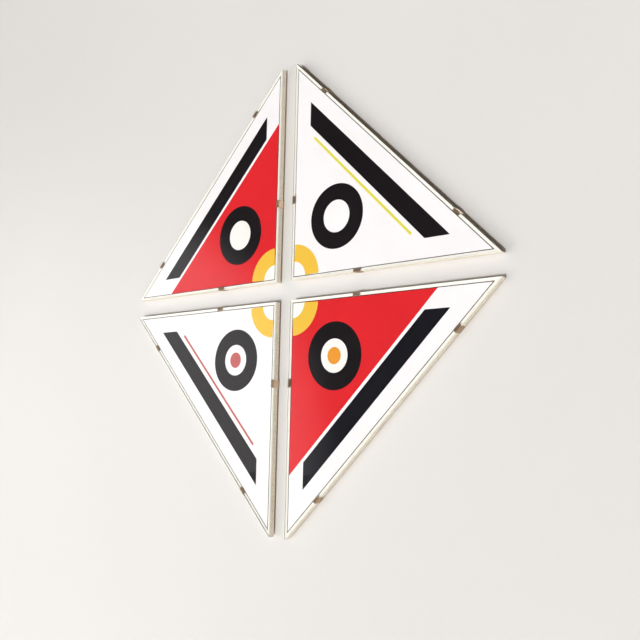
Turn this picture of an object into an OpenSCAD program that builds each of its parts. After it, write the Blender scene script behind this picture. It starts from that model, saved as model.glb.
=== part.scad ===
// Four right-angled triangular clip frames, hung on a wall with their right angles together,
// so that the set makes a square standing on its corner. The wall is the plane y = 0, the
// fronts face -Y, and +Z is up. The origin is the centre of the four wall-hook screw holes.

/* [Set] */
// Length of the two short edges of a panel
panel_leg = 500; // [400:10:700]
// Distance from the centre line of the cross-shaped gap to a panel
half_gap = 22; // [16:1:40]

/* [Layers, from the wall forward] */
// Space between the wall and a board
wall_gap = 4.5; // [4.5:0.1:8]
// Thickness of a backing board
board_t = 11; // [10:1:18]
// Thickness of the white card
card_t = 1; // [0.5:0.1:2]
// Thickness of the printed sheet
print_t = 0.3; // [0.1:0.1:0.5]
// Thickness of the glass
glass_t = 2; // [2:0.5:3]
// White margin of card around a print
print_margin = 6; // [2:1:20]

/* [Spring clips] */
// Width of a clip along the panel's edge
clip_w = 17; // [12:1:24]
// Thickness of the clip's spring steel
clip_t = 0.8; // [0.5:0.1:1]
// Reach of a clip's front lip over the glass
clip_lip = 6; // [4:1:7]
// Reach of a clip's back leg behind the board
clip_leg = 23; // [22:1:30]
// How far a clip slides outward to free the glass
clip_travel = 8; // [7.5:0.5:9]
// Distance from a sharp corner to a clip, along the slanted edge
slant_clip_at = 123; // [90:1:200]
// Distance from the right angle to the clip on the horizontal edge
level_clip_at = 181; // [140:1:300]
// Distance from the right angle to the clip on the vertical edge
upright_clip_at = 179; // [140:1:240]

/* [Hanging] */
// Radius of a ring, to the middle of its wire
ring_r = 11; // [11:0.5:14]
// Height of the upper rings above the right angle of their panels
upper_ring_rise = 238; // [220:1:250]
// Depth of the lower rings below the right angle of their panels
lower_ring_drop = 68; // [64:1:90]
// Radius of the screw hole in a wall hook
hook_hole_r = 2.1; // [1.6:0.1:2.5]
// Radius of a rubber bumper
bumper_r = 6; // [4:0.5:7]

/* [Hidden] */
$fn = 64;
// sets of panel name, side (-1 left, 1 right) and level (1 upper, -1 lower)
PANELS = [["top_left", -1, 1], ["top_right", 1, 1], ["bottom_left", -1, -1], ["bottom_right", 1, -1]];
PIECES = ["board", "card", "print", "glass", "slant_clip_high", "slant_clip_low", "level_clip",
          "upright_clip", "screws", "hanger", "ring", "bumpers"];

// layers: distance from the wall to the back of each
card_y = wall_gap + board_t;
print_y = card_y + card_t;
glass_y = print_y + print_t;
front_y = glass_y + glass_t;

// the hanging hardware, measured from the centre of a ring
wire_r = 0.8;
ring_y = 2;
hook_plate_t = 0.8;
hook_channel_r = ring_y - hook_plate_t;
hook_drop = ring_r - 0.3;
hook_tip = ring_r + 8;
hook_w = 5;
hook_plate_w = 14;
hook_plate_h = 14;
hook_tongue_lap = 10;
hook_hole_rise = 34;
eye_drop = ring_r - 0.2;
eye_inner_r = 1.3;
eye_outer_r = 1.9;
strap_t = 0.8;
strap_w = 12;
strap_top = 4;
strap_holes = [11, 25];

// the screws
screw_r = 1.45;
screw_length = 9;
pilot_r = 1.5;
pilot_depth = 10;
strap_hole_r = 1.6;
screw_head_r = 3;
screw_head_t = 1.6;
clip_screw_at = 10;
clip_slot_r = 1.7;
clip_play = 0.1;
clip_side_gap = 0.3;
bend_r = 0.7;
head_taper = 0.4;
recess_reach = 0.6;
recess_w = 0.6;

// the bumpers, measured from a panel's right angle
bumper_corner = 18;
bumper_in = 15;
bumper_far = panel_leg - 84;
bumper_chamfer = 1;

slant_edge = panel_leg / sin(45);

// the hooks hang each panel from a point above or below its right angle, over its centre of mass
centre_of_mass = half_gap + panel_leg / 3;
upper_ring_z = half_gap + upper_ring_rise;
lower_ring_z = -half_gap - lower_ring_drop;
cross_z = -(upper_ring_z + lower_ring_z) / 2 - hook_hole_rise;

function ring_z(level) = cross_z + (level > 0 ? upper_ring_z : lower_ring_z);

// moves geometry drawn for the upper right panel, with its right angle at the origin, to any panel
module at_panel(side, level)
    translate([0, 0, cross_z])
        mirror([side < 0 ? 1 : 0, 0, 0])
            mirror([0, 0, level < 0 ? 1 : 0])
                translate([half_gap, 0, half_gap])
                    children();

// moves geometry drawn around a ring's centre, on the wall plane, to a panel's ring
module at_ring(side, level)
    translate([side * centre_of_mass, 0, ring_z(level)])
        children();

// moves a clip drawn at the origin, with +X outward across the edge, to each edge of a panel
module at_slant(along)
    translate([along * sin(45), 0, panel_leg - along * sin(45)])
        rotate([0, -45, 0])
            children();

module at_level()
    translate([level_clip_at, 0, 0])
        rotate([0, 90, 0])
            children();

module at_upright()
    translate([0, 0, upright_clip_at])
        rotate([0, 180, 0])
            children();

// puts its children at every clip of one panel
module at_clips() {
    at_slant(slant_clip_at)
        children();
    at_slant(slant_edge - slant_clip_at)
        children();
    at_level()
        children();
    at_upright()
        children();
}

// a right-angled triangular sheet, inset from the panel's edges, with its back at a distance from the wall
module sheet(back, thickness, inset = 0) {
    leg = panel_leg - inset * (2 + sqrt(2));
    translate([inset, -back, inset])
        rotate([90, 0, 0])
            linear_extrude(thickness)
                polygon([[0, 0], [leg, 0], [0, leg]]);
}

// a cylinder that runs forward from a distance from the wall
module forward_cylinder(back, length, r1, r2 = undef)
    translate([0, -back, 0])
        rotate([90, 0, 0])
            cylinder(h = length, r1 = r1, r2 = is_undef(r2) ? r1 : r2);

// where the strap's screws stand under a ring
module at_strap_screws(side, level)
    at_ring(side, level)
        for (drop = strap_holes)
            translate([0, 0, -eye_drop - drop])
                children();

// a blind hole for a screw, drilled into the back of a board
module pilot_hole()
    forward_cylinder(wall_gap - 1, pilot_depth + 1, pilot_r);

module board(side, level) color("#cbbf9f")
    difference() {
        at_panel(side, level)
            sheet(wall_gap, board_t);
        at_panel(side, level)
            at_clips()
                translate([-clip_screw_at, 0, 0])
                    pilot_hole();
        at_strap_screws(side, level)
            pilot_hole();
    }

module card(side, level) color("#f6f3ee")
    at_panel(side, level)
        sheet(card_y, card_t);

module printed_sheet(side, level) color("#fbf7f4")
    at_panel(side, level)
        sheet(print_y, print_t, print_margin);

module glass(side, level) color("#dfe9e6", 0.4)
    at_panel(side, level)
        sheet(glass_y, glass_t);

module round_rect(left, bottom, width, height, r) {
    translate([left + r, bottom])
        square([width - 2 * r, height]);
    translate([left, bottom + r])
        square([width, height - 2 * r]);
    for (x = [left + r, left + width - r])
        for (y = [bottom + r, bottom + height - r])
            translate([x, y])
                circle(r);
}

// a spring clip's bent strip, seen from its end: x is outward, y is forward
module clip_profile() {
    back = wall_gap - clip_play - clip_t;
    depth = front_y - wall_gap + 2 * (clip_play + clip_t);
    reach = clip_side_gap + clip_t;
    over = 5;
    difference() {
        round_rect(-clip_leg, back, clip_leg + reach, depth, bend_r + clip_t);
        round_rect(-clip_leg - over, back + clip_t, clip_leg + over + clip_side_gap,
                   depth - 2 * clip_t, bend_r);
        translate([-clip_leg - 1, back + 2 * clip_t + bend_r])
            square([clip_leg + 1 - clip_lip, depth]);
    }
    translate([-clip_leg, back])
        square([clip_leg / 2, clip_t]);
}

// a spring clip with its back leg slotted, so that it slides outward under its screw's head
module clip()
    difference() {
        mirror([0, 1, 0])
            translate([0, 0, -clip_w / 2])
                linear_extrude(clip_w)
                    clip_profile();
        for (slot_end = [clip_screw_at, clip_screw_at + clip_travel])
            translate([-slot_end, 0, 0])
                forward_cylinder(0, wall_gap + 1, clip_slot_r);
        translate([-clip_screw_at - clip_travel, -wall_gap - 1, -clip_slot_r])
            cube([clip_travel, wall_gap + 1, 2 * clip_slot_r]);
    }

module slant_clip(side, level, along) color("#94826f")
    at_panel(side, level)
        at_slant(along)
            clip();

module slant_clip_high(side, level)
    slant_clip(side, level, level > 0 ? slant_clip_at : slant_edge - slant_clip_at);

module slant_clip_low(side, level)
    slant_clip(side, level, level > 0 ? slant_edge - slant_clip_at : slant_clip_at);

module level_clip(side, level) color("#94826f")
    at_panel(side, level)
        at_level()
            clip();

module upright_clip(side, level) color("#94826f")
    at_panel(side, level)
        at_upright()
            clip();

// a pan-head screw whose head bears on a strip that lies on the back of a board
module screw(strip_t) {
    under_head = wall_gap - strip_t;
    difference() {
        union() {
            forward_cylinder(under_head, screw_length, screw_r);
            forward_cylinder(under_head - screw_head_t, screw_head_t,
                             screw_head_r - head_taper, screw_head_r);
        }
        for (turn = [0, 90])
            translate([0, -under_head + screw_head_t / 2, 0])
                rotate([0, turn, 0])
                    translate([-screw_head_r * recess_reach, 0, -recess_w / 2])
                        cube([2 * screw_head_r * recess_reach, screw_head_t, recess_w]);
    }
}

module screws(side, level) color("#b9b7b2") {
    at_panel(side, level)
        at_clips()
            translate([-clip_screw_at, 0, 0])
                screw(clip_t + clip_play);
    at_strap_screws(side, level)
        screw(strap_t);
}

// a steel strap with a rolled eye at its top, which holds the ring
module hanger(side, level) color("#a9a7a3")
    difference() {
        union() {
            at_ring(side, level)
                translate([-strap_w / 4, -ring_y, -eye_drop])
                    rotate([0, 90, 0])
                        cylinder(h = strap_w / 2, r = eye_outer_r);
            at_ring(side, level)
                translate([-strap_w / 4, -wall_gap, -eye_drop - strap_top])
                    cube([strap_w / 2, strap_t, strap_top]);
            at_ring(side, level)
                translate([-strap_w / 2, -wall_gap, -eye_drop - strap_holes[1]])
                    cube([strap_w, strap_t, strap_holes[1] - strap_top]);
            at_ring(side, level)
                translate([0, 0, -eye_drop - strap_holes[1]])
                    forward_cylinder(wall_gap - strap_t, strap_t, strap_w / 2);
        }
        at_ring(side, level)
            translate([-strap_w, -ring_y, -eye_drop])
                rotate([0, 90, 0])
                    cylinder(h = 2 * strap_w, r = eye_inner_r);
        at_strap_screws(side, level)
            forward_cylinder(0, wall_gap + 1, strap_hole_r);
    }

module ring(side, level) color("#c9c6bf")
    at_ring(side, level)
        translate([0, -ring_y, 0])
            rotate([90, 0, 0])
                rotate_extrude()
                    translate([ring_r, 0])
                        circle(wire_r, $fn = 32);

// rubber bumpers near the corners, with a chamfered face towards the wall
module bumpers(side, level) color("#35332f")
    at_panel(side, level)
        for (spot = [[bumper_corner, bumper_corner], [bumper_far, bumper_in], [bumper_in, bumper_far]])
            translate([spot[0], 0, spot[1]]) {
                forward_cylinder(0, bumper_chamfer, bumper_r - bumper_chamfer, bumper_r);
                forward_cylinder(bumper_chamfer, wall_gap - bumper_chamfer, bumper_r);
            }

// a wall hook: a plate with a screw hole, and a narrow tongue bent into a J under the ring's top
module wall_hook(side, level)
    difference() {
        at_ring(side, level) {
            translate([-hook_plate_w / 2, -hook_plate_t, hook_hole_rise - hook_plate_h])
                cube([hook_plate_w, hook_plate_t, hook_plate_h]);
            translate([0, 0, hook_hole_rise])
                forward_cylinder(0, hook_plate_t, hook_plate_w / 2);
            translate([-hook_w / 2, -hook_plate_t, hook_drop])
                cube([hook_w, hook_plate_t, hook_hole_rise - hook_drop - hook_tongue_lap]);
            translate([-hook_w / 2, -ring_y - hook_channel_r - hook_plate_t, hook_drop])
                cube([hook_w, hook_plate_t, hook_tip - hook_drop]);
            hook_bend();
        }
        at_ring(side, level)
            translate([0, 0, hook_hole_rise])
                forward_cylinder(-1, hook_plate_t + 2, hook_hole_r);
    }

// the half-round bend of a hook
module hook_bend()
    translate([-hook_w / 2, -ring_y, hook_drop])
        rotate([0, 90, 0])
            difference() {
                cylinder(h = hook_w, r = hook_channel_r + hook_plate_t);
                translate([0, 0, -1])
                    cylinder(h = hook_w + 2, r = hook_channel_r);
                translate([-ring_y - 2, -ring_y - 2, -1])
                    cube([ring_y + 2, 2 * ring_y + 4, hook_w + 2]);
            }

module wall_hooks() color("#b7b2a6")
    for (p = PANELS)
        wall_hook(p[1], p[2]);

wall_hooks();
for (p = PANELS) {
    board(p[1], p[2]);
    card(p[1], p[2]);
    printed_sheet(p[1], p[2]);
    glass(p[1], p[2]);
    slant_clip_high(p[1], p[2]);
    slant_clip_low(p[1], p[2]);
    level_clip(p[1], p[2]);
    upright_clip(p[1], p[2]);
    screws(p[1], p[2]);
    hanger(p[1], p[2]);
    ring(p[1], p[2]);
    bumpers(p[1], p[2]);
}
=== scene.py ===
import math

import bmesh
import bpy
from mathutils import Matrix, Vector


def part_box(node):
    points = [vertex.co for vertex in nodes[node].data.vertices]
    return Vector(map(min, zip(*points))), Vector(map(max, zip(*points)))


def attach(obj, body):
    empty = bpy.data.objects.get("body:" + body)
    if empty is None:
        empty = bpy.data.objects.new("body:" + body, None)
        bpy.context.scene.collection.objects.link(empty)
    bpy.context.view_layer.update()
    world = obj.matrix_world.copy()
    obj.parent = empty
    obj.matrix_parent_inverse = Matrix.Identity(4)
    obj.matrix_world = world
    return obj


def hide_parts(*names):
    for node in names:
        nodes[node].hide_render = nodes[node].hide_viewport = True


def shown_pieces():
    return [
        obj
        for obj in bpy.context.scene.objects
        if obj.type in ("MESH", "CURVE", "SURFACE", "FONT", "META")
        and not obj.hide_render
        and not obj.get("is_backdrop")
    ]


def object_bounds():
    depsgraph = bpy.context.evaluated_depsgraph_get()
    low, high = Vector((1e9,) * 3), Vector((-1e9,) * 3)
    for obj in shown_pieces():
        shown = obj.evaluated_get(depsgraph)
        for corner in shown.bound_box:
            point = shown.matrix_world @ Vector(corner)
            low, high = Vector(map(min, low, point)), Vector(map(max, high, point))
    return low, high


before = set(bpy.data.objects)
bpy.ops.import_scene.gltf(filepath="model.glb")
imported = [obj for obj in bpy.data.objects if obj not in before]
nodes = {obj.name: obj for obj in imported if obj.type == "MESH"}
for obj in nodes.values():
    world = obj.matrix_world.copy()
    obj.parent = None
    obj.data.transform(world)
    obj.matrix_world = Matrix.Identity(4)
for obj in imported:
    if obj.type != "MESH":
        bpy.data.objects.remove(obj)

cad_lo, cad_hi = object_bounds()
centre = (cad_lo + cad_hi) / 2
MM = 0.001

# ---------------------------------------------------------------- camera
# the offset is from the middle of the CAD box, in metres, with angles in degrees and lens in mm
CAMERA_OFFSET = (1.1133, -1.1720, -0.2628)
HEADING, PITCH, ROLL = 40.55, 8.72, 1.06
LENS, SENSOR = 41.94, 36
SHIFT = (-0.0063, -0.0325)

cam_data = bpy.data.cameras.new("camera")
cam_data.sensor_width = SENSOR
cam_data.lens = LENS
cam_data.shift_x, cam_data.shift_y = SHIFT
cam_data.clip_start = 0.01
cam_data.clip_end = 100
camera = bpy.data.objects.new("camera", cam_data)
bpy.context.scene.collection.objects.link(camera)
camera.matrix_world = (
    Matrix.Translation(centre + Vector(CAMERA_OFFSET))
    @ Matrix.Rotation(math.radians(HEADING), 4, "Z")
    @ Matrix.Rotation(math.radians(90 + PITCH), 4, "X")
    @ Matrix.Rotation(math.radians(ROLL), 4, "Z")
)
bpy.context.scene.camera = camera
bpy.context.scene.view_settings.view_transform = "Standard"
bpy.context.scene.view_settings.look = "Medium High Contrast"
bpy.context.scene.view_settings.exposure = -0.11


# ---------------------------------------------------------------- materials
def linear(r, g, b):
    """A display colour given as 0-255 values, as linear light."""
    out = []
    for c in (r, g, b):
        c /= 255
        out.append(c / 12.92 if c <= 0.04045 else ((c + 0.055) / 1.055) ** 2.4)
    return (*out, 1)


RANGE_INPUTS = ("From Min", "From Max", "To Min", "To Max")


class Mat:
    """A small wrapper round one material's node tree."""

    def __init__(self, name):
        self.material = bpy.data.materials.new(name)
        self.material.use_nodes = True
        self.tree = self.material.node_tree
        self.bsdf = self.tree.nodes["Principled BSDF"]
        self.out = self.tree.nodes["Material Output"]

    def node(self, kind, **values):
        """A new shader node with the given attributes."""
        n = self.tree.nodes.new(kind)
        for k, v in values.items():
            setattr(n, k, v)
        return n

    def link(self, a, b):
        self.tree.links.new(a, b)

    def coords(self, scale=(1, 1, 1)):
        """The piece's own coordinates in metres, times scale."""
        c = self.node("ShaderNodeTexCoord")
        m = self.node("ShaderNodeMapping")
        m.inputs["Scale"].default_value = scale
        self.link(c.outputs["Object"], m.inputs["Vector"])
        return m.outputs["Vector"]

    def noise(self, scale, detail, rough=0.55, vector=None, distortion=0.0):
        """Cloudy noise with about scale features to the metre, or to a unit of vector."""
        n = self.node("ShaderNodeTexNoise")
        n.inputs["Scale"].default_value = scale
        n.inputs["Detail"].default_value = detail
        n.inputs["Roughness"].default_value = rough
        n.inputs["Distortion"].default_value = distortion
        self.link(vector or self.coords(), n.inputs["Vector"])
        return n.outputs["Fac"]

    def cells(self, vector):
        """A random colour for each cell, with about one cell to a unit of vector."""
        n = self.node("ShaderNodeTexVoronoi")
        n.inputs["Scale"].default_value = 1
        self.link(vector, n.inputs["Vector"])
        return n.outputs["Color"]

    def ramp(self, value, *stops):
        """Value as a colour. Each stop is a value and its colour."""
        n = self.node("ShaderNodeValToRGB")
        e = n.color_ramp.elements
        while len(e) < len(stops):
            e.new(0.5)
        for k, (at, colour) in zip(e, stops):
            k.position = at
            k.color = colour
        self.link(value, n.inputs["Fac"])
        return n.outputs["Color"]

    def span(self, value, lo, hi, out_lo, out_hi):
        """Value from lo to hi, as out_lo to out_hi."""
        n = self.node("ShaderNodeMapRange")
        for k, v in zip(RANGE_INPUTS, (lo, hi, out_lo, out_hi)):
            n.inputs[k].default_value = v
        self.link(value, n.inputs["Value"])
        return n.outputs["Result"]

    def math(self, op, a, b):
        """Arithmetic on two values, each a socket or a number."""
        n = self.node("ShaderNodeMath", operation=op)
        for i, v in enumerate((a, b)):
            if hasattr(v, "is_linked"):
                self.link(v, n.inputs[i])
            else:
                n.inputs[i].default_value = v
        return n.outputs["Value"]

    def mix(self, fac, a, b, blend="MIX"):
        """Colour a going over to colour b as fac goes from 0 to 1."""
        n = self.node("ShaderNodeMix", data_type="RGBA", blend_type=blend)
        for k, v in ((0, fac), (6, a), (7, b)):
            if hasattr(v, "is_linked"):
                self.link(v, n.inputs[k])
            else:
                n.inputs[k].default_value = v
        return n.outputs[2]

    def bump(self, height, distance, strength):
        """Surface relief from height, with distance as its depth in metres."""
        n = self.node("ShaderNodeBump")
        n.inputs["Distance"].default_value = distance
        n.inputs["Strength"].default_value = strength
        self.link(height, n.inputs["Height"])
        self.link(n.outputs["Normal"], self.bsdf.inputs["Normal"])

    def set(self, **values):
        """Sets or links inputs of the surface shader, named with _ for a space."""
        for k, v in values.items():
            s = self.bsdf.inputs[k.replace("_", " ")]
            if hasattr(v, "is_linked"):
                self.link(v, s)
            else:
                s.default_value = v


def paper(name, rgb, spread=0.03, roughness=0.62):
    """Matt paper or ink on paper: fine fibres, faint cloudy tone."""
    m = Mat(name)
    c = linear(*rgb)
    low = tuple(x * (1 - spread) for x in c[:3]) + (1,)
    high = tuple(min(1, x * (1 + spread * 0.6)) for x in c[:3]) + (1,)
    cloud = m.noise(9, detail=3)
    fibre = m.noise(1, detail=5, rough=0.65, vector=m.coords((900, 900, 2600)))
    both = m.math("ADD", m.math("MULTIPLY", cloud, 0.6), m.math("MULTIPLY", fibre, 0.4))
    m.set(
        Base_Color=m.ramp(both, (0.36, low), (0.62, high)),
        Roughness=m.span(fibre, 0.3, 0.7, roughness - 0.05, roughness + 0.07),
        Specular_IOR_Level=0.35,
    )
    m.bump(fibre, 0.04 * MM, 0.6)
    return m.material


GLASS_IOR = 1.5


def glass_face(name):
    """Float glass seen through its faces: clear, with the mirror image of a single surface."""
    m = Mat(name)
    m.tree.nodes.remove(m.bsdf)
    clear = m.node("ShaderNodeBsdfTransparent")
    clear.inputs["Color"].default_value = (0.993, 0.995, 0.991, 1)
    gloss = m.node("ShaderNodeBsdfGlossy")
    gloss.inputs["Color"].default_value = (1, 1, 1, 1)
    smear = m.noise(14, detail=4, rough=0.6, distortion=0.4)
    m.link(m.span(smear, 0.35, 0.7, 0.012, 0.05), gloss.inputs["Roughness"])
    fresnel = m.node("ShaderNodeFresnel")
    fresnel.inputs["IOR"].default_value = GLASS_IOR
    side = m.node("ShaderNodeNewGeometry")
    front = m.math("SUBTRACT", 1.0, side.outputs["Backfacing"])
    share = m.math("MULTIPLY", fresnel.outputs["Fac"], front)
    blend = m.node("ShaderNodeMixShader")
    m.link(share, blend.inputs["Fac"])
    m.link(clear.outputs["BSDF"], blend.inputs[1])
    m.link(gloss.outputs["BSDF"], blend.inputs[2])
    m.link(blend.outputs["Shader"], m.out.inputs["Surface"])
    return m.material


def glass_edge(name):
    """The ground edge of the pane: nearly white, satin, with small grinding marks."""
    m = Mat(name)
    grain = m.noise(1, detail=4, vector=m.coords((700, 2400, 700)))
    chips = m.noise(120, detail=2)
    m.set(
        Base_Color=m.ramp(grain, (0.35, linear(230, 234, 226)), (0.7, linear(247, 248, 243))),
        Roughness=m.span(chips, 0.35, 0.65, 0.28, 0.5),
        Coat_Weight=0.3,
        Coat_Roughness=0.2,
    )
    m.bump(grain, 0.06 * MM, 0.5)
    return m.material


def particle_board(name, painted_shade=0.0):
    """Raw particle board: pale sawn edges with darker specks, and brown faces with soft flakes.

    With painted_shade above 0, a sawn edge that faces up and right is darker by that share: painted shade,
    not the board's own colour.
    """
    m = Mat(name)
    chip = m.cells(m.coords((420, 900, 420)))
    tone = m.node("ShaderNodeSeparateColor")
    m.link(chip, tone.inputs["Color"])
    fine = m.noise(900, detail=4, rough=0.6)
    cloud = m.noise(22, detail=3)
    base = m.ramp(
        tone.outputs["Red"],
        (0.0, linear(204, 193, 170)),
        (0.35, linear(227, 218, 200)),
        (0.8, linear(237, 230, 215)),
        (1.0, linear(244, 238, 227)),
    )
    darker = m.ramp(fine, (0.33, linear(178, 162, 136)), (0.47, (1, 1, 1, 1)))
    shaded = m.mix(0.45, base, darker, "MULTIPLY")
    dusty = m.mix(m.span(cloud, 0.35, 0.7, 0.0, 0.35), shaded, linear(226, 219, 203))
    # the faces toward the card and the wall are brown, and only the sawn edges are pale
    facing = m.node("ShaderNodeTexCoord")
    split = m.node("ShaderNodeSeparateXYZ")
    m.link(facing.outputs["Normal"], split.inputs["Vector"])
    flat = m.span(m.math("ABSOLUTE", split.outputs["Y"], 0.0), 0.5, 0.8, 0.0, 1.0)
    flake = m.cells(m.coords((150, 150, 240)))
    flake_tone = m.node("ShaderNodeSeparateColor")
    m.link(flake, flake_tone.inputs["Color"])
    flakes = m.math("MULTIPLY", flake_tone.outputs["Green"], 0.18)
    pressed = m.math("ADD", flakes, m.math("MULTIPLY", fine, 0.8))
    brown = m.ramp(
        m.math("ADD", pressed, m.math("MULTIPLY", cloud, 0.5)),
        (0.45, linear(114, 94, 73)),
        (0.72, linear(134, 113, 90)),
        (1.0, linear(154, 134, 110)),
    )
    # painted shade: a sawn edge facing up and right is given a darker colour that stands in for the shade
    # falling on it
    if painted_shade:
        slanting = m.math("ADD", split.outputs["X"], split.outputs["Z"])
        shaded_edge = m.mix(painted_shade, dusty, linear(78, 70, 55))
        dusty = m.mix(m.span(slanting, 1.1, 1.35, 0.0, 1.0), dusty, shaded_edge)
    m.set(
        Base_Color=m.mix(flat, dusty, brown),
        Roughness=m.span(fine, 0.3, 0.7, 0.72, 0.9),
        Specular_IOR_Level=0.25,
    )
    height = m.math("ADD", m.math("MULTIPLY", tone.outputs["Red"], 0.5), fine)
    m.bump(height, 0.18 * MM, 0.8)
    return m.material


def metal(name, light, dark, roughness, wear, metallic=0.9):
    """Bare metal: drawn grain, cloudy tarnish of the scale wear, and finer darker spots."""
    m = Mat(name)
    lines = m.noise(1, detail=5, rough=0.6, vector=m.coords((300, 300, 2400)))
    tarnish = m.noise(wear, detail=5, rough=0.62, distortion=0.5)
    spots = m.noise(wear * 9, detail=3)
    colour = m.ramp(tarnish, (0.34, linear(*dark)), (0.66, linear(*light)))
    spot_colour = linear(*[int(x * 0.55) for x in dark])
    worn = m.mix(m.span(spots, 0.55, 0.75, 0.0, 0.5), colour, spot_colour)
    uneven = m.math("ADD", m.math("MULTIPLY", lines, 0.5), tarnish)
    m.set(
        Base_Color=worn,
        Metallic=metallic,
        Roughness=m.span(uneven, 0.5, 1.0, roughness - 0.08, roughness + 0.14),
    )
    m.bump(lines, 0.03 * MM, 0.7)
    return m.material


def rubber(name):
    """Dark grey rubber, paler where dust lies on it."""
    m = Mat(name)
    grain = m.noise(700, detail=3)
    dust = m.noise(60, detail=4)
    m.set(
        Base_Color=m.ramp(dust, (0.35, linear(58, 56, 54)), (0.75, linear(96, 92, 86))),
        Roughness=m.span(grain, 0.3, 0.7, 0.6, 0.8),
        Specular_IOR_Level=0.3,
    )
    m.bump(grain, 0.06 * MM, 0.6)
    return m.material


PAPER = paper("paper", (249, 245, 247))
CARD = paper("card", (248, 244, 238), roughness=0.7)
# the dark line round each sheet is painted shadow of the sheet's cut edge
SHEET_EDGE_SHADOW = paper("sheet_edge_painted_shadow", (62, 54, 47), spread=0.15, roughness=0.8)
INK = {
    "black": paper("ink_black", (32, 27, 31), spread=0.12, roughness=0.5),
    "navy_black": paper("ink_navy_black", (29, 28, 36), spread=0.12, roughness=0.5),
    "red": paper("ink_red", (226, 48, 56), spread=0.05, roughness=0.55),
    "line_red": paper("ink_line_red", (202, 108, 108), spread=0.06, roughness=0.55),
    "yellow": paper("ink_yellow", (243, 200, 82), spread=0.04, roughness=0.55),
    "lemon": paper("ink_lemon", (232, 223, 92), spread=0.04, roughness=0.55),
    "orange": paper("ink_orange", (238, 164, 66), spread=0.04, roughness=0.55),
    "white": paper("ink_white", (249, 246, 243), roughness=0.55),
}
GLASS = glass_face("glass_face")
GLASS_EDGE = glass_edge("glass_edge")
BOARD = particle_board("particle_board_raw")
# particle board whose slanting sawn edge, facing up and right, carries painted shade
BOARD_PAINTED_SHADE = particle_board("particle_board_painted_shade", 0.92)
CLIP = metal("clip_steel", (205, 184, 160), (160, 134, 110), 0.42, 70)
ZINC = metal("zinc_plate", (206, 206, 200), (164, 162, 152), 0.34, 55, 0.6)
HOOK = metal("hook_steel_grey", (178, 178, 174), (128, 126, 120), 0.4, 40, 0.6)
WIRE = metal("ring_wire_steel", (198, 196, 190), (150, 147, 140), 0.3, 60, 0.6)
RUBBER = rubber("rubber_grey")


# ---------------------------------------------------------------- mesh helpers
CIRCLE_STEPS = 96


def add_piece(name, bm, materials, body):
    """A visual piece made of the mesh built in bm, which is freed. It rides on body."""
    bmesh.ops.recalc_face_normals(bm, faces=bm.faces)
    mesh = bpy.data.meshes.new(name)
    bm.to_mesh(mesh)
    bm.free()
    for m in materials:
        mesh.materials.append(m)
    o = bpy.data.objects.new(name, mesh)
    bpy.context.scene.collection.objects.link(o)
    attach(o, body)
    return o


def bridge(bm, a, b, closed=True):
    """Joins two rows of as many points with quads, all the way round if closed."""
    faces = []
    for i in range(len(a) if closed else len(a) - 1):
        j = (i + 1) % len(a)
        faces.append(bm.faces.new((a[i], a[j], b[j], b[i])))
    return faces


def prism(bm, outline, y0, y1, place):
    """A closed flat plate: outline in panel coordinates, from depth y0 to y1."""
    back = [bm.verts.new(place(p, q, y0)) for p, q in outline]
    front = [bm.verts.new(place(p, q, y1)) for p, q in outline]
    bm.faces.new(back)
    bm.faces.new(front)
    bridge(bm, back, front)


def arc(cx, cy, r, a0, a1, steps=CIRCLE_STEPS):
    """Points round a centre, from angle a0 to a1 in degrees."""
    return [
        (cx + r * math.cos(math.radians(a0 + (a1 - a0) * i / steps)),
         cy + r * math.sin(math.radians(a0 + (a1 - a0) * i / steps)))
        for i in range(steps + 1)
    ]


def band(bm, cx, cy, r_in, r_out, a0, a1, y0, y1, place):
    """A flat ring, or part of one, as a closed plate."""
    full = abs(a1 - a0) >= 360
    loops = []
    for r, y in ((r_in, y0), (r_out, y0), (r_out, y1), (r_in, y1)):
        pts = arc(cx, cy, r, a0, a1)
        if full:
            pts = pts[:-1]
        loops.append([bm.verts.new(place(p, q, y)) for p, q in pts])
    for a, b in zip(loops, loops[1:] + loops[:1]):
        bridge(bm, a, b, full)
    if not full:
        bm.faces.new([loop[0] for loop in loops])
        bm.faces.new([loop[-1] for loop in loops])


def disc(cx, cy, r):
    """The outline of a whole circle."""
    return arc(cx, cy, r, 0, 360)[:-1]


def strip(p0, q0, p1, q1, width):
    """A straight line of the given width, as an outline."""
    d = Vector((p1 - p0, q1 - q0)).normalized() * (width / 2)
    n = Vector((-d.y, d.x))
    return [(p0 + n.x, q0 + n.y), (p1 + n.x, q1 + n.y), (p1 - n.x, q1 - n.y), (p0 - n.x, q0 - n.y)]


def triangle_inset(leg, by):
    """A right triangle with its corner at 0, 0 set in by the given distance on every side."""
    far = leg - by * (1 + math.sqrt(2))
    return [(by, by), (far, by), (by, far)]


# ---------------------------------------------------------------- the four panels
SHEET_T = 0.12 * MM
INK_T = 0.03 * MM
LOW, MIDDLE, TOP = 0, 1, 2  # layers of ink, from the sheet outward

# the dark line round a sheet, painted shadow of its cut edge, and how far it reaches past the sheet's edge
EDGE_W = 1.4 * MM
EDGE_OVERHANG = 0.1 * MM

# One layout serves all four prints. p and q are distances from a sheet's two short edges, and a
# slanting edge lies where p + q is the value given. END is the p or q at which a shape stops.
BAR_OUTER, BAR_INNER, BAR_END = 430 * MM, 375 * MM, 40 * MM
FIELD_EDGE = 365 * MM
LINE_GAP, LINE_END, LINE_W = 8 * MM, 52 * MM, 5.2 * MM
RING_AT = 118 * MM
RING_R = 70 * MM
HOLE_R = RING_R / 2
DOT_R = HOLE_R / 2
QUARTER_R = 72 * MM
QUARTER_HOLE_R = 34 * MM
GAP_LAP = 1 * MM  # how far the white of a hole reaches under the ring round it
GAP_STEPS = 24

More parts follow.
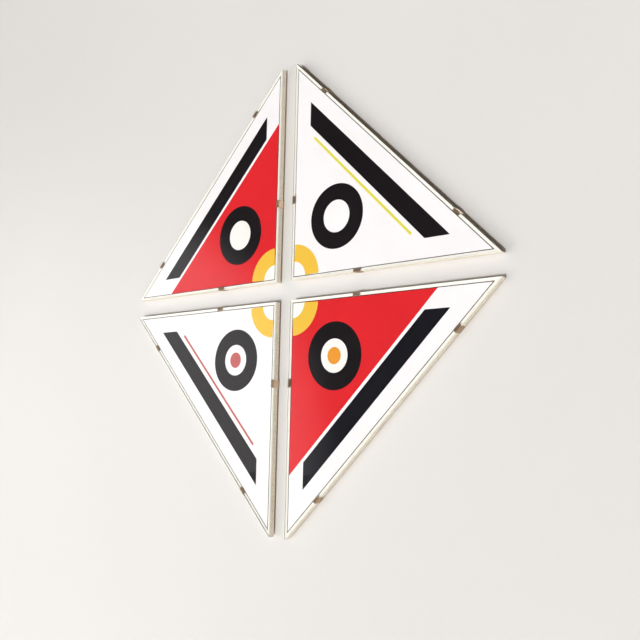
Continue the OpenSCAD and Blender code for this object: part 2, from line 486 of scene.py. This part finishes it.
# the flat ground along the pane's edges, how far each tip is cut back along its two sides, and
# the two ways from each tip to the points that replace it
ARRIS = 0.4 * MM
TIP = 1 * MM
TIP_WAYS = (((0, 1), (1, 0)), ((-1, 0), (-1, 1)), ((1, -1), (0, -1)))
PANE_EDGE_SLOT = 1

BOARD_BEVEL = 0.5 * MM
METAL_BEVEL = 0.12 * MM
BEVEL_SEGMENTS = 2
BEVEL_ANGLE = 35
WELD_DISTANCE = 0.002 * MM

# each panel's side and level: -1 is left or below, 1 is right or above
PANELS = {
    "top_left": (-1, 1),
    "top_right": (1, 1),
    "bottom_left": (-1, -1),
    "bottom_right": (1, -1),
}


def placer(lo, hi, sx, sz):
    """Turns panel coordinates into places: p and q run out from the box's right-angled corner."""
    x0 = lo.x if sx > 0 else hi.x
    z0 = lo.z if sz > 0 else hi.z

    def place(p, q, y):
        return Vector((x0 + sx * p, y, z0 + sz * q))

    return place


def art(name, sx, sz):
    """One panel's print: the sheet, a dark line round its edge that is painted shadow, and the ink as thin
    plates.
    """
    lo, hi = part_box(name + "_print")
    place = placer(lo, hi, sx, sz)
    leg = hi.x - lo.x
    back = hi.y
    front = back - SHEET_T
    body = name + "_panel"

    def level(k):
        """The back and the front of ink layer k."""
        return front - INK_T * k, front - INK_T * (k + 1)

    def ink(suffix, colour, *shapes):
        """Each shape is a layer, with an outline as a list or a ring's numbers as a tuple."""
        bm = bmesh.new()
        for k, shape in shapes:
            if isinstance(shape, tuple):
                band(bm, *shape, *level(k), place)
            else:
                prism(bm, shape, *level(k), place)
        add_piece(f"{name}_{suffix}", bm, [INK[colour]], body)

    bm = bmesh.new()
    prism(bm, [(0, 0), (leg, 0), (0, leg)], back, front, place)
    sheet = add_piece(f"{name}_sheet", bm, [PAPER], body)
    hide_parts(name + "_print")

    # a dark ring round the sheet: painted shadow along its cut edge
    bm = bmesh.new()
    outer = triangle_inset(leg, -EDGE_OVERHANG)
    inner = triangle_inset(leg, EDGE_W)
    y0, y1 = level(LOW)
    loops = [
        [bm.verts.new(place(p, q, y)) for p, q in pts]
        for pts, y in ((outer, y0), (outer, y1), (inner, y1), (inner, y0))
    ]
    for a, b in zip(loops, loops[1:] + loops[:1]):
        bridge(bm, a, b)
    add_piece(f"{name}_sheet_edge_painted_shadow", bm, [SHEET_EDGE_SHADOW], body)

    bar = [
        (BAR_END, BAR_INNER - BAR_END),
        (BAR_END, BAR_OUTER - BAR_END),
        (BAR_OUTER - BAR_END, BAR_END),
        (BAR_INNER - BAR_END, BAR_END),
    ]
    ink("bar", "navy_black" if name == "bottom_right" else "black", (MIDDLE, bar))
    ink("ring_band", "black", (TOP, (RING_AT, RING_AT, HOLE_R, RING_R, 0, 360)))
    # the angle at which the quarter ring's hole meets the line round the sheet
    lap = math.degrees(math.asin(EDGE_W / QUARTER_HOLE_R))
    ink("quarter_band", "yellow", (TOP, (0, 0, QUARTER_HOLE_R, QUARTER_R, lap, 90 - lap)))

    if sx * sz < 0:
        # top left and bottom right: a colour field, with white in the holes of the rings
        reach = FIELD_EDGE - EDGE_W
        ink("field", "red", (LOW, [(EDGE_W, EDGE_W), (reach, EDGE_W), (EDGE_W, reach)]))
        corner_arc = arc(0, 0, QUARTER_HOLE_R + GAP_LAP, lap, 90 - lap, GAP_STEPS)
        ink(
            "field_gaps", "white",
            (MIDDLE, [(EDGE_W, EDGE_W)] + corner_arc),
            (MIDDLE, disc(RING_AT, RING_AT, HOLE_R + GAP_LAP)),
        )
    else:
        # one thin line beside the bar, on the side of the right angle
        line = FIELD_EDGE - LINE_GAP
        far = line - LINE_END
        colour = "lemon" if sz > 0 else "line_red"
        ink("line", colour, (MIDDLE, strip(LINE_END, far, far, LINE_END, LINE_W)))
    if sz < 0:
        ink("dot", "orange" if sx > 0 else "line_red", (TOP, disc(RING_AT, RING_AT, DOT_R)))


def pane(name, sx, sz, body):
    """The glass: a clear sheet with its edges ground to a small flat and its tips blunted."""
    lo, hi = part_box(name + "_glass")
    place = placer(lo, hi, sx, sz)
    leg = hi.x - lo.x
    bm = bmesh.new()

    def loop(by, y):
        """The outline at depth y, set in by a distance, with two points for each tip."""
        pts = []
        for (p, q), ways in zip(triangle_inset(leg, by), TIP_WAYS):
            for way in ways:
                v = Vector(way).normalized() * TIP
                pts.append((p + v.x, q + v.y))
        return [bm.verts.new(place(p, q, y)) for p, q in pts]

    loops = [loop(ARRIS, hi.y), loop(0, hi.y - ARRIS), loop(0, lo.y + ARRIS), loop(ARRIS, lo.y)]
    for a, b in zip(loops, loops[1:]):
        for face in bridge(bm, a, b):
            face.material_index = PANE_EDGE_SLOT
    bm.faces.new(loops[0])
    bm.faces.new(loops[-1])
    o = add_piece(f"{name}_pane", bm, [GLASS, GLASS_EDGE], body)
    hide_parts(name + "_glass")


def finish_node(node, material, bevel=0.0):
    """Gives a CAD node its material and, with a bevel, a small rounding of its edges."""
    o = nodes[node]
    for s in o.material_slots:
        s.material = material
    if bevel:
        weld = o.modifiers.new("weld", "WELD")
        weld.merge_threshold = WELD_DISTANCE
        b = o.modifiers.new("bevel", "BEVEL")
        b.width = bevel
        b.segments = BEVEL_SEGMENTS
        b.limit_method = "ANGLE"
        b.angle_limit = math.radians(BEVEL_ANGLE)
        b.use_clamp_overlap = True


for name, (sx, sz) in PANELS.items():
    art(name, sx, sz)
    pane(name, sx, sz, name + "_panel")
    # the top right board takes the material with painted shade on its edge facing up and right
    finish_node(name + "_board", BOARD_PAINTED_SHADE if name == "top_right" else BOARD, BOARD_BEVEL)
    finish_node(name + "_card", CARD)
    for clip in ("slant_clip_high", "slant_clip_low", "level_clip", "upright_clip"):
        finish_node(f"{name}_{clip}", CLIP, METAL_BEVEL)
    finish_node(name + "_screws", ZINC)
    finish_node(name + "_hanger", ZINC)
    finish_node(name + "_ring", WIRE)
    finish_node(name + "_bumpers", RUBBER)
finish_node("wall_hooks", HOOK, METAL_BEVEL)


# ---------------------------------------------------------------- wall, floor and light
def plane(name, corners, material):
    """A four-cornered sheet that belongs to the stage and not to the object."""
    mesh = bpy.data.meshes.new(name)
    mesh.from_pydata([Vector(c) for c in corners], [], [(0, 1, 2, 3)])
    mesh.materials.append(material)
    o = bpy.data.objects.new(name, mesh)
    bpy.context.scene.collection.objects.link(o)
    o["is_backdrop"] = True
    return o


def wall_material():
    """Pale satin wall paint. Its back is clear, so the object can be seen from behind."""
    m = Mat("wall_paint")
    roll = m.noise(160, detail=2, rough=0.5)
    cloud = m.noise(1.1, detail=1)
    m.set(
        Base_Color=m.ramp(cloud, (0.2, linear(219, 216, 213)), (0.8, linear(223, 221, 219))),
        Roughness=0.34,
        Specular_IOR_Level=0.4,
    )
    m.bump(roll, 0.2 * MM, 0.4)
    side = m.node("ShaderNodeNewGeometry")
    clear = m.node("ShaderNodeBsdfTransparent")
    blend = m.node("ShaderNodeMixShader")
    m.link(side.outputs["Backfacing"], blend.inputs["Fac"])
    m.link(m.bsdf.outputs["BSDF"], blend.inputs[1])
    m.link(clear.outputs["BSDF"], blend.inputs[2])
    m.link(blend.outputs["Shader"], m.out.inputs["Surface"])
    return m.material


def floor_material():
    """A pale matt floor."""
    m = Mat("floor_pale")
    cloud = m.noise(3, detail=4)
    m.set(Base_Color=m.ramp(cloud, (0.3, linear(222, 220, 215)), (0.7, linear(228, 226, 221))), Roughness=0.6)
    return m.material


# in metres: SIDE is how far a sheet reaches each way, and DROP is how far below the object's
# middle the floor lies
WALL_SIDE = 8
WALL_HEIGHT = 6
FLOOR_SIDE = 14
FLOOR_DROP = 1.9
WALL_Y = cad_hi.y
FLOOR_Z = centre.z - FLOOR_DROP
WALL_TOP = FLOOR_Z + WALL_HEIGHT
plane(
    "wall",
    [
        (-WALL_SIDE, WALL_Y, FLOOR_Z),
        (WALL_SIDE, WALL_Y, FLOOR_Z),
        (WALL_SIDE, WALL_Y, WALL_TOP),
        (-WALL_SIDE, WALL_Y, WALL_TOP),
    ],
    wall_material(),
)
floor = plane(
    "floor",
    [
        (-FLOOR_SIDE, -FLOOR_SIDE, FLOOR_Z),
        (FLOOR_SIDE, -FLOOR_SIDE, FLOOR_Z),
        (FLOOR_SIDE, FLOOR_SIDE, FLOOR_Z),
        (-FLOOR_SIDE, FLOOR_SIDE, FLOOR_Z),
    ],
    floor_material(),
)

LAMP_DISTANCE = 2.4


def area_light(name, toward, side, power):
    """A square lamp that faces the middle of the object from the given direction."""
    data = bpy.data.lights.new(name, "AREA")
    data.shape = "RECTANGLE"
    data.size = side
    data.size_y = side
    data.energy = power
    o = bpy.data.objects.new(name, data)
    bpy.context.scene.collection.objects.link(o)
    d = Vector(toward).normalized()
    o.location = centre + d * LAMP_DISTANCE
    o.rotation_mode = "QUATERNION"
    o.rotation_quaternion = d.to_track_quat("Z", "Y")
    o.visible_camera = False
    o.visible_glossy = False
    return o


def broad_light(name, toward, strength, angle, only=None, glossy=False):
    """A far light, softer as angle grows. Only the object blocks it, not the wall or floor.

    With only, it lights nothing but that collection. With glossy, it shows in reflections.
    """
    data = bpy.data.lights.new(name, "SUN")
    data.energy = strength
    data.angle = math.radians(angle)
    o = bpy.data.objects.new(name, data)
    bpy.context.scene.collection.objects.link(o)
    o.rotation_mode = "QUATERNION"
    o.rotation_quaternion = Vector(toward).normalized().to_track_quat("Z", "Y")
    o.light_linking.blocker_collection = object_pieces
    o.visible_glossy = glossy
    if only:
        o.light_linking.receiver_collection = only


object_pieces = bpy.data.collections.new("object_pieces")
metal_pieces = bpy.data.collections.new("metal_pieces")
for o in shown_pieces():
    object_pieces.objects.link(o)
    if o.material_slots[0].material in (CLIP, ZINC, HOOK, WIRE):
        metal_pieces.objects.link(o)
broad_light("key", (0.05, -1.0, -0.4), 2.0, 9)
broad_light("soft_low_left", (-0.9, -1.0, -0.5), 0.95, 44)
broad_light("soft_low_right", (0.7, -1.0, -1.1), 0.7, 44)
broad_light("soft_high_left", (-1.3, -1.0, 0.2), 0.15, 44)
broad_light("metal_sheen", (0.5, -1.0, 0.1), 1.6, 80, metal_pieces, glossy=True)
floor_only = bpy.data.collections.new("floor_only")
floor_only.objects.link(floor)
broad_light("floor_light", (0, -0.2, 1.0), 1.4, 60, floor_only)
area_light("fill_left", (-1.1, -1.0, -0.9), 0.9, 6)

# The room lights everything and shows in the glass, bright in one patch and dim elsewhere. The
# patch is given by its direction and by the cosines where it starts and where it is full.
PATCH_TOWARD = (-0.84, -0.5, -0.05)
PATCH_START, PATCH_FULL = 0.936, 0.964
ROOM_DIM, ROOM_BRIGHT = 0.03, 1.08

world = bpy.data.worlds.new("world")
world.use_nodes = True
bpy.context.scene.world = world
world_tree = world.node_tree
room = world_tree.nodes["Background"]
room.inputs["Color"].default_value = (1.0, 1.0, 1.0, 1)
pale = world_tree.nodes.new("ShaderNodeBackground")
pale.inputs["Color"].default_value = (0.66, 0.66, 0.65, 1)
path = world_tree.nodes.new("ShaderNodeLightPath")
pick = world_tree.nodes.new("ShaderNodeMixShader")
where = world_tree.nodes.new("ShaderNodeTexCoord")
toward = world_tree.nodes.new("ShaderNodeVectorMath")
toward.operation = "DOT_PRODUCT"
toward.inputs[1].default_value = Vector(PATCH_TOWARD).normalized()
shade = world_tree.nodes.new("ShaderNodeMapRange")
shade.interpolation_type = "SMOOTHSTEP"
for k, v in zip(RANGE_INPUTS, (PATCH_START, PATCH_FULL, ROOM_DIM, ROOM_BRIGHT)):
    shade.inputs[k].default_value = v
world_tree.links.new(where.outputs["Generated"], toward.inputs[0])
world_tree.links.new(toward.outputs["Value"], shade.inputs["Value"])
world_tree.links.new(shade.outputs["Result"], room.inputs["Strength"])
# the camera itself sees a plain pale grey
world_tree.links.new(path.outputs["Is Camera Ray"], pick.inputs["Fac"])
world_tree.links.new(room.outputs["Background"], pick.inputs[1])
world_tree.links.new(pale.outputs["Background"], pick.inputs[2])
world_tree.links.new(pick.outputs["Shader"], world_tree.nodes["World Output"].inputs["Surface"])

# a soft lamp behind the wall lights only the object's back
back = area_light("back_fill", (0.1, 1.0, 0.25), 2.0, 48)
back.visible_glossy = True
back.light_linking.receiver_collection = object_pieces
back.light_linking.blocker_collection = object_pieces
